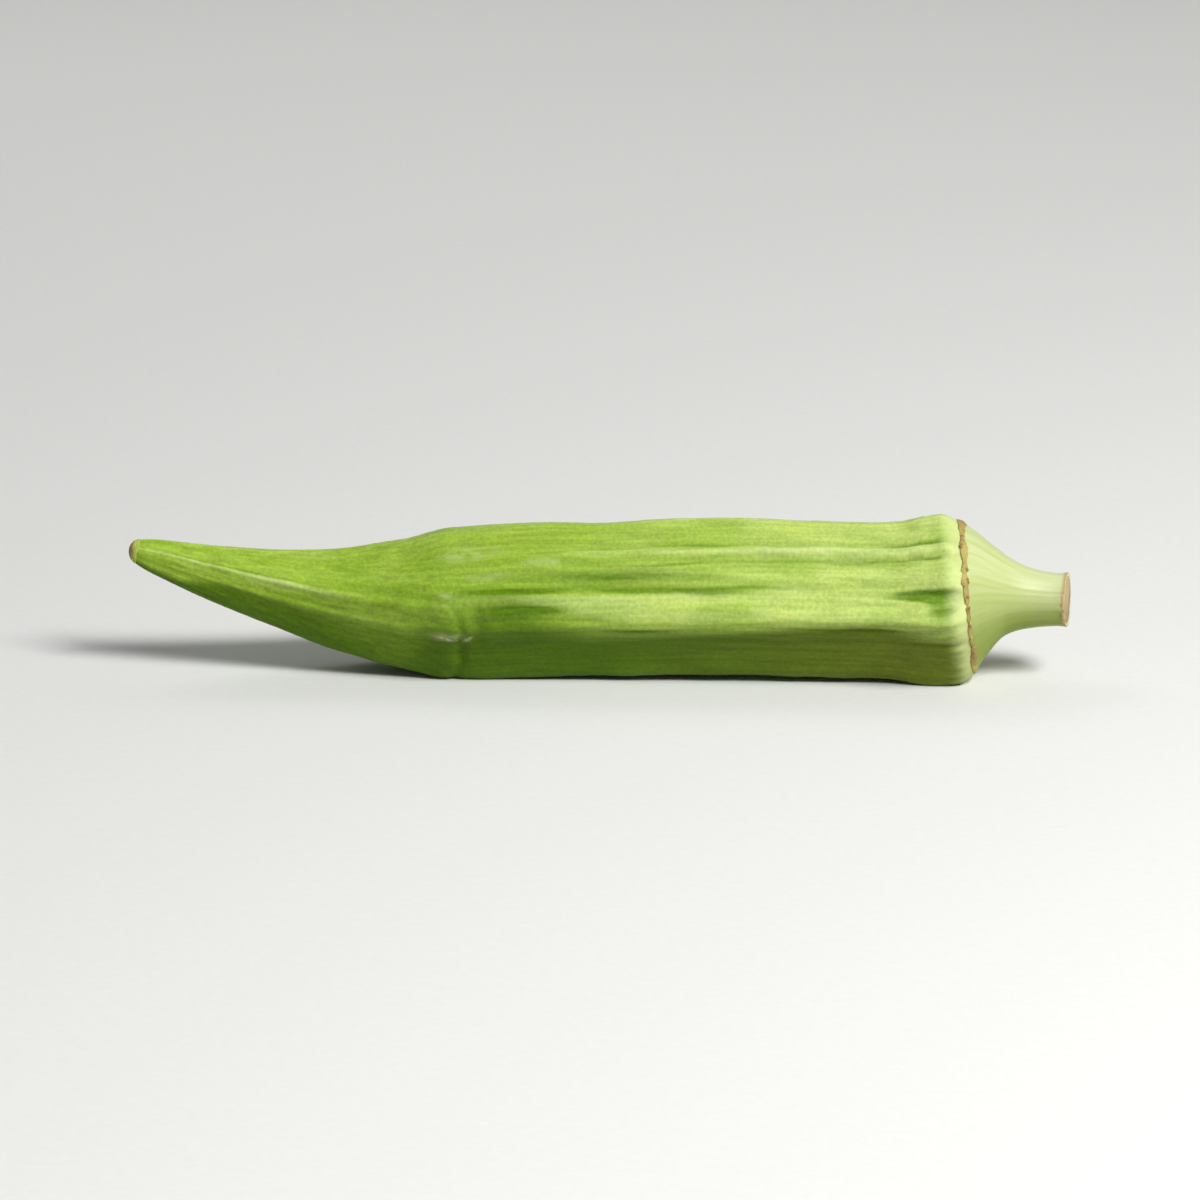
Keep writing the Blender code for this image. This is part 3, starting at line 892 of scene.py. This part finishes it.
# A collar behind the face's edge, tucked into the stalk, so that no gap shows between the two.
COLLAR_DEPTH, COLLAR_SHARE = 0.0006, 0.97
collar = cut_middle + (edge[:1] - cut_forward * COLLAR_DEPTH - cut_middle) * COLLAR_SHARE
cut = loft("cut_face", np.concatenate((collar, face)))
reaches = np.concatenate((np.ones((1, CUT_COLUMNS)), out))
record_mask(cut, "reach", reaches)
turn = np.concatenate((place[:1], place)) * 2 * np.pi / RIBS
on_cut = CUT_RADIUS * np.stack((0 * turn, -reaches * np.sin(turn), reaches * np.cos(turn)), -1)
disc = np.vstack((on_cut.reshape(-1, 3), np.zeros((2, 3)))).astype(np.float32)
cut.data.attributes.new("disc", "FLOAT_VECTOR", "POINT").data.foreach_set("vector", disc.ravel())

# Cut stem flesh, a day or two after the knife: wet cells that dried and browned a little at the
# edge. It gives a pale cream disc, matt and faintly pink, with a darker ring and a soft pale pith.
flesh = bpy.data.materials.new("cut_stem_flesh")
flesh.use_nodes = True
shader = flesh.node_tree.nodes["Principled BSDF"]
reach_out = add_node(flesh, "Attribute", {}, attribute_name="reach").outputs["Fac"]
on_disc = add_node(flesh, "Attribute", {}, attribute_name="disc").outputs["Vector"]
CELL_SIZE = 0.00016
cells = add_node(flesh, "TexNoise", {"Vector": on_disc, "Scale": 1 / CELL_SIZE, "Detail": 3.0})
BUNDLE_SPACING = 0.00039
to_bundle = add_node(
    flesh, "TexVoronoi", {"Vector": on_disc, "Scale": 1 / BUNDLE_SPACING}
).outputs["Distance"]
in_ring = add_node(
    flesh, "MapRange", {"Value": reach_out, "From Min": 0.50, "From Max": 0.62, "To Max": 0.6}
).outputs[0]
on_bundle = add_node(
    flesh,
    "MapRange",
    {"Value": to_bundle, "From Min": 0.10, "From Max": 0.32, "To Min": 0.45, "To Max": 0.0},
).outputs[0]
at_rim = add_node(
    flesh, "MapRange", {"Value": reach_out, "From Min": 0.90, "From Max": 0.985, "To Max": 0.8}
).outputs[0]
stained = add_node(
    flesh, "MapRange", {"Value": cells.outputs["Fac"], "From Min": 0.45, "From Max": 0.75, "To Max": 0.5}
).outputs[0]
cream = add_node(
    flesh, "Mix", {0: in_ring, 6: linear("E4DFBE"), 7: linear("D6D2A0")}, data_type="RGBA"
).outputs[2]
for amount, colour in ((on_bundle, "B9A878"), (at_rim, "A88458"), (stained, "D2AE8C")):
    cream = add_node(
        flesh, "Mix", {0: amount, 6: cream, 7: linear(colour)}, data_type="RGBA"
    ).outputs[2]
flesh.node_tree.links.new(cream, shader.inputs["Base Color"])
spongy = add_node(
    flesh, "Bump", {"Height": cells.outputs["Fac"], "Strength": 0.6, "Distance": 0.00010}
).outputs[0]
flesh.node_tree.links.new(spongy, shader.inputs["Normal"])
shader.inputs["Roughness"].default_value = 0.62
shader.inputs["IOR"].default_value = 1.40
shader.inputs["Subsurface Weight"].default_value = 0.15
shader.inputs["Subsurface Radius"].default_value = (1.0, 0.8, 0.5)
shader.inputs["Subsurface Scale"].default_value = 0.001
cut.data.materials.append(flesh)
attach(cut, "root")


# The dried tip: what is left of the flower's style at the end of the beak. It shrank to a small,
# blunt, crusted end, a millimetre or so long, round a pit where the style broke off.
TIP_ROWS, TIP_COLUMNS = 24, 96
TIP_FROM = 0.0085
HUSK_THICKNESS, HUSK_LUMPS, EDGE_TUCK, TIP_CRUST = 0.00005, 0.00005, 0.00003, 0.00003
TIP_BULGE, PIT_DEPTH = 0.00022, 0.00030
along, place = lattice(np.linspace(0, 1, TIP_ROWS), TIP_COLUMNS)
husk_lift = HUSK_THICKNESS * ramp(0.0, 0.15, along) + HUSK_LUMPS * patches(along, place, 9, 18, 51)
husk_lift -= EDGE_TUCK * (along < 0.05)
sleeve = laid(TIP_FROM * (1 - ramp(0.0, 0.60, along)), place, husk_lift)
tip_middle = sleeve[-1].mean(0)
tip_forward = centre(np.array(0.05)) - centre(np.array(0.0))
tip_forward /= np.linalg.norm(tip_forward)
closing = 1 - 0.96 * ramp(0.55, 1.15, along) / ramp(0.55, 1.15, 1.0)
bulge = TIP_BULGE * (1 - closing**2) - PIT_DEPTH * (1 - ramp(0.18, 0.42, closing))
crusted = bulge + TIP_CRUST * patches(along, place, 14, 30, 52)
button = tip_middle + (sleeve - tip_middle) * closing[..., None] - tip_forward * crusted[..., None]
tip = loft("dried_tip", button[::-1])
placed = np.array([vertex.co for vertex in tip.data.vertices], np.float32)
tip.data.attributes.new("placed", "FLOAT_VECTOR", "POINT").data.foreach_set("vector", placed.ravel())
AT_FRONT, AT_BACK = 1.0, 0.0
record_mask(tip, "dryness", np.append(ramp(0.05, 0.75, along)[::-1], (AT_FRONT, AT_BACK)))

# Dried style tissue: brown and brittle. It gives a dull, rough brown button, greener at its edge,
# with buff cracks.
husk = bpy.data.materials.new("dried_style_husk")
husk.use_nodes = True
shader = husk.node_tree.nodes["Principled BSDF"]
on_tip = add_node(husk, "Attribute", {}, attribute_name="placed").outputs["Vector"]
HUSK_CRACKS = 0.0006
husk_cracks = add_node(husk, "TexNoise", {"Vector": on_tip, "Scale": 1 / HUSK_CRACKS, "Detail": 3.0})
HUSK_STAIN = 0.0018
stain = add_node(husk, "TexNoise", {"Vector": on_tip, "Scale": 1 / HUSK_STAIN, "Detail": 2.0})
dried = add_node(
    husk, "MapRange", {"Value": stain.outputs["Fac"], "From Min": 0.38, "From Max": 0.62}
).outputs[0]
dryness = add_node(husk, "Attribute", {}, attribute_name="dryness").outputs["Fac"]
drier = add_node(husk, "Math", {0: dried, 1: dryness}, operation="MULTIPLY").outputs[0]
split = add_node(
    husk,
    "MapRange",
    {"Value": husk_cracks.outputs["Fac"], "From Min": 0.56, "From Max": 0.68, "To Max": 0.5},
).outputs[0]
brown = add_node(
    husk, "Mix", {0: dryness, 6: linear("A9BC4C"), 7: linear("B09C56")}, data_type="RGBA"
).outputs[2]
for amount, colour in ((drier, "86643A"), (split, "CDB98A")):
    brown = add_node(
        husk, "Mix", {0: amount, 6: brown, 7: linear(colour)}, data_type="RGBA"
    ).outputs[2]
husk.node_tree.links.new(brown, shader.inputs["Base Color"])
brittle = add_node(
    husk, "Bump", {"Height": husk_cracks.outputs["Fac"], "Strength": 0.7, "Distance": 0.00010}
).outputs[0]
husk.node_tree.links.new(brittle, shader.inputs["Normal"])
shader.inputs["Roughness"].default_value = 0.80
shader.inputs["IOR"].default_value = 1.45
tip.data.materials.append(husk)
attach(tip, "root")


# The fuzz: short stiff hairs that grew all over the body's skin and lean towards the tip. They are a
# fifth of a millimetre long, five or six to the square millimetre, and each is a spike of its own.
HAIRS = 36000
HAIR_LENGTH, HAIR_RADIUS, HAIR_ROOT = 0.00022, 0.000009, 0.00003
HAIRY_FROM, HAIRY_TO, HAIRY_BELTS = 0.02, 0.885, 500
rng = np.random.default_rng(61)
girths = spline(OUTLINE, np.linspace(HAIRY_FROM, HAIRY_TO, HAIRY_BELTS))
belt = rng.choice(HAIRY_BELTS, HAIRS, p=girths / girths.sum())
share = HAIRY_FROM + (HAIRY_TO - HAIRY_FROM) * (belt + rng.uniform(0, 1, HAIRS)) / HAIRY_BELTS
place = rng.uniform(0, RIBS, HAIRS)
root = laid(share, place, skin_relief(share, place) - HAIR_ROOT)
onward = laid(share + 0.002, place, skin_relief(share + 0.002, place)) - root
around = laid(share, (place + 0.02) % RIBS, skin_relief(share, (place + 0.02) % RIBS)) - root
outward = np.cross(around, onward)
outward /= np.linalg.norm(outward, axis=1, keepdims=True)
onward /= np.linalg.norm(onward, axis=1, keepdims=True)
sideways = np.cross(outward, onward)
lean = -0.55 + 0.35 * rng.standard_normal((HAIRS, 1))
stray = 0.35 * rng.standard_normal((HAIRS, 1))
direction = outward + lean * onward + stray * sideways
direction /= np.linalg.norm(direction, axis=1, keepdims=True)
length = HAIR_LENGTH * rng.uniform(0.5, 1.25, (HAIRS, 1))
corners = [
    root + HAIR_RADIUS * (math.cos(turn) * onward + math.sin(turn) * sideways)
    for turn in np.radians((0, 120, 240))
]
TABLE_CLEARANCE = 0.0006
standing = root[:, 2] > TABLE_CLEARANCE
vertices = np.stack((*corners, root + direction * length), 1)[standing]
first = np.arange(len(vertices))[:, None] * 4
faces = np.concatenate([first + np.array(f) for f in ((0, 1, 3), (1, 2, 3), (2, 0, 3), (2, 1, 0))])
spikes = bpy.data.meshes.new("fuzz")
spikes.from_pydata(vertices.reshape(-1, 3).tolist(), [], faces.tolist())
fuzz = bpy.data.objects.new("fuzz", spikes)
bpy.context.scene.collection.objects.link(fuzz)
# The skin's painted shade, so that the hairs darken with it
record_mask(fuzz, "painted_shade", np.repeat(painted_shade_at(share, place)[standing], 4))

# Plant hair, as it grew: one clear, stiff cell each. It gives the skin a soft, velvety edge, most of
# all where the surface turns away, and takes on the skin's painted shade, a deeper green, on the
# underside.
hair = bpy.data.materials.new("plant_hair")
hair.use_nodes = True
shader = hair.node_tree.nodes["Principled BSDF"]
in_fuzz = add_node(hair, "TexCoord", {}).outputs["Object"]
TUFT_SIZE = 0.00167
tufts = add_node(hair, "TexNoise", {"Vector": in_fuzz, "Scale": 1 / TUFT_SIZE}).outputs["Fac"]
tinted = add_node(
    hair, "Mix", {0: tufts, 6: linear("8CA83A"), 7: linear("BCCC74")}, data_type="RGBA"
).outputs[2]
hair_painted_shade = add_node(hair, "Attribute", {}, attribute_name="painted_shade").outputs["Fac"]
darker = add_node(
    hair, "Mix", {0: hair_painted_shade, 6: tinted, 7: linear("4E6A08")}, data_type="RGBA"
).outputs[2]
hair.node_tree.links.new(darker, shader.inputs["Base Color"])
shader.inputs["Roughness"].default_value = 0.55
shader.inputs["IOR"].default_value = 1.45
shader.inputs["Specular IOR Level"].default_value = 0.15
fuzz.data.materials.append(hair)
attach(fuzz, "root")


# The table: a wide pale sheet that curves up behind the pod, so that no edge shows.
SHEET_HALF_WIDTH, SHEET_FRONT, SHEET_HEIGHT = 1.6, -1.4, 1.8
BEND_START, BEND_RADIUS = 0.75, 0.45
profile = [(SHEET_FRONT, 0.0), (BEND_START, 0.0)]
for turn in np.radians(np.linspace(0, 90, 24))[1:]:
    profile.append((BEND_START + BEND_RADIUS * math.sin(turn), BEND_RADIUS * (1 - math.cos(turn))))
profile.append((BEND_START + BEND_RADIUS, SHEET_HEIGHT))
sheet_points = [(x, y, z) for y, z in profile for x in (-SHEET_HALF_WIDTH, SHEET_HALF_WIDTH)]
sheet_faces = [(2 * k, 2 * k + 1, 2 * k + 3, 2 * k + 2) for k in range(len(profile) - 1)]
sheet = bpy.data.meshes.new("table")
sheet.from_pydata(sheet_points, [], sheet_faces)
sheet.shade_smooth()
table = bpy.data.objects.new("table", sheet)
bpy.context.scene.collection.objects.link(table)

# Matt white paper, uncoated: it gives an even, nearly white ground with a soft shadow. Its tooth is
# drawn coarser than the real one, which would not show.
paper = bpy.data.materials.new("matt_paper")
paper.use_nodes = True
shader = paper.node_tree.nodes["Principled BSDF"]
on_sheet = add_node(paper, "TexCoord", {}).outputs["Object"]
TOOTH = 0.0012
tooth = add_node(
    paper, "TexNoise", {"Vector": on_sheet, "Scale": 1 / TOOTH, "Detail": 2.0}
).outputs["Fac"]
ground = add_node(
    paper, "Mix", {0: tooth, 6: linear("DCDCD9"), 7: linear("E2E2DF")}, data_type="RGBA"
).outputs[2]
paper.node_tree.links.new(ground, shader.inputs["Base Color"])
shader.inputs["Roughness"].default_value = 0.9
table.data.materials.append(paper)


# The light: a soft lamp high at the front right, a much weaker one behind at the left, a wide one
# turned to the ground far behind, so that it doesn't fall off into grey, and a dim, even room.
def soft_lamp(name, place, aim, size, power):
    """A square lamp at a place, turned to face a point."""
    lamp = bpy.data.lights.new(name, "AREA")
    lamp.size = size
    lamp.energy = power
    holder = bpy.data.objects.new(name, lamp)
    holder.location = place
    holder.rotation_euler = (Vector(aim) - Vector(place)).to_track_quat("-Z", "Y").to_euler()
    bpy.context.scene.collection.objects.link(holder)


soft_lamp("high_right", (0.40, -0.38, 0.56), (0, 0, 0), 0.30, 7.5)
soft_lamp("behind_left", (-0.45, 0.45, 0.55), (0, 0, 0), 0.40, 0.6)
soft_lamp("over_ground", (0, 0.70, 0.65), (0, 1.0, 0), 0.90, 2.0)
room = bpy.data.worlds.new("room")
room.use_nodes = True
room.node_tree.nodes["Background"].inputs["Color"].default_value = linear("F4F6F8")
room.node_tree.nodes["Background"].inputs["Strength"].default_value = 0.14
bpy.context.scene.world = room
bpy.context.scene.view_settings.view_transform = "Standard"

# The camera: a long lens that looks down on the pod's side by about as much as the photo does, from
# a touch nearer its stalk.
CAMERA_DISTANCE = 0.62
CAMERA_AZIMUTH, CAMERA_ELEVATION = math.radians(2.0), math.radians(15.0)
lens = bpy.data.cameras.new("camera")
lens.lens = 145
lens.clip_start = 0.01
camera = bpy.data.objects.new("camera", lens)
aim = Vector((0.0, 0.0, 0.0095))
back = Vector(
    (
        math.sin(CAMERA_AZIMUTH) * math.cos(CAMERA_ELEVATION),
        -math.cos(CAMERA_AZIMUTH) * math.cos(CAMERA_ELEVATION),
        math.sin(CAMERA_ELEVATION),
    )
)
camera.location = aim + back * CAMERA_DISTANCE
camera.rotation_euler = (-back).to_track_quat("-Z", "Y").to_euler()
bpy.context.scene.collection.objects.link(camera)
bpy.context.scene.camera = camera
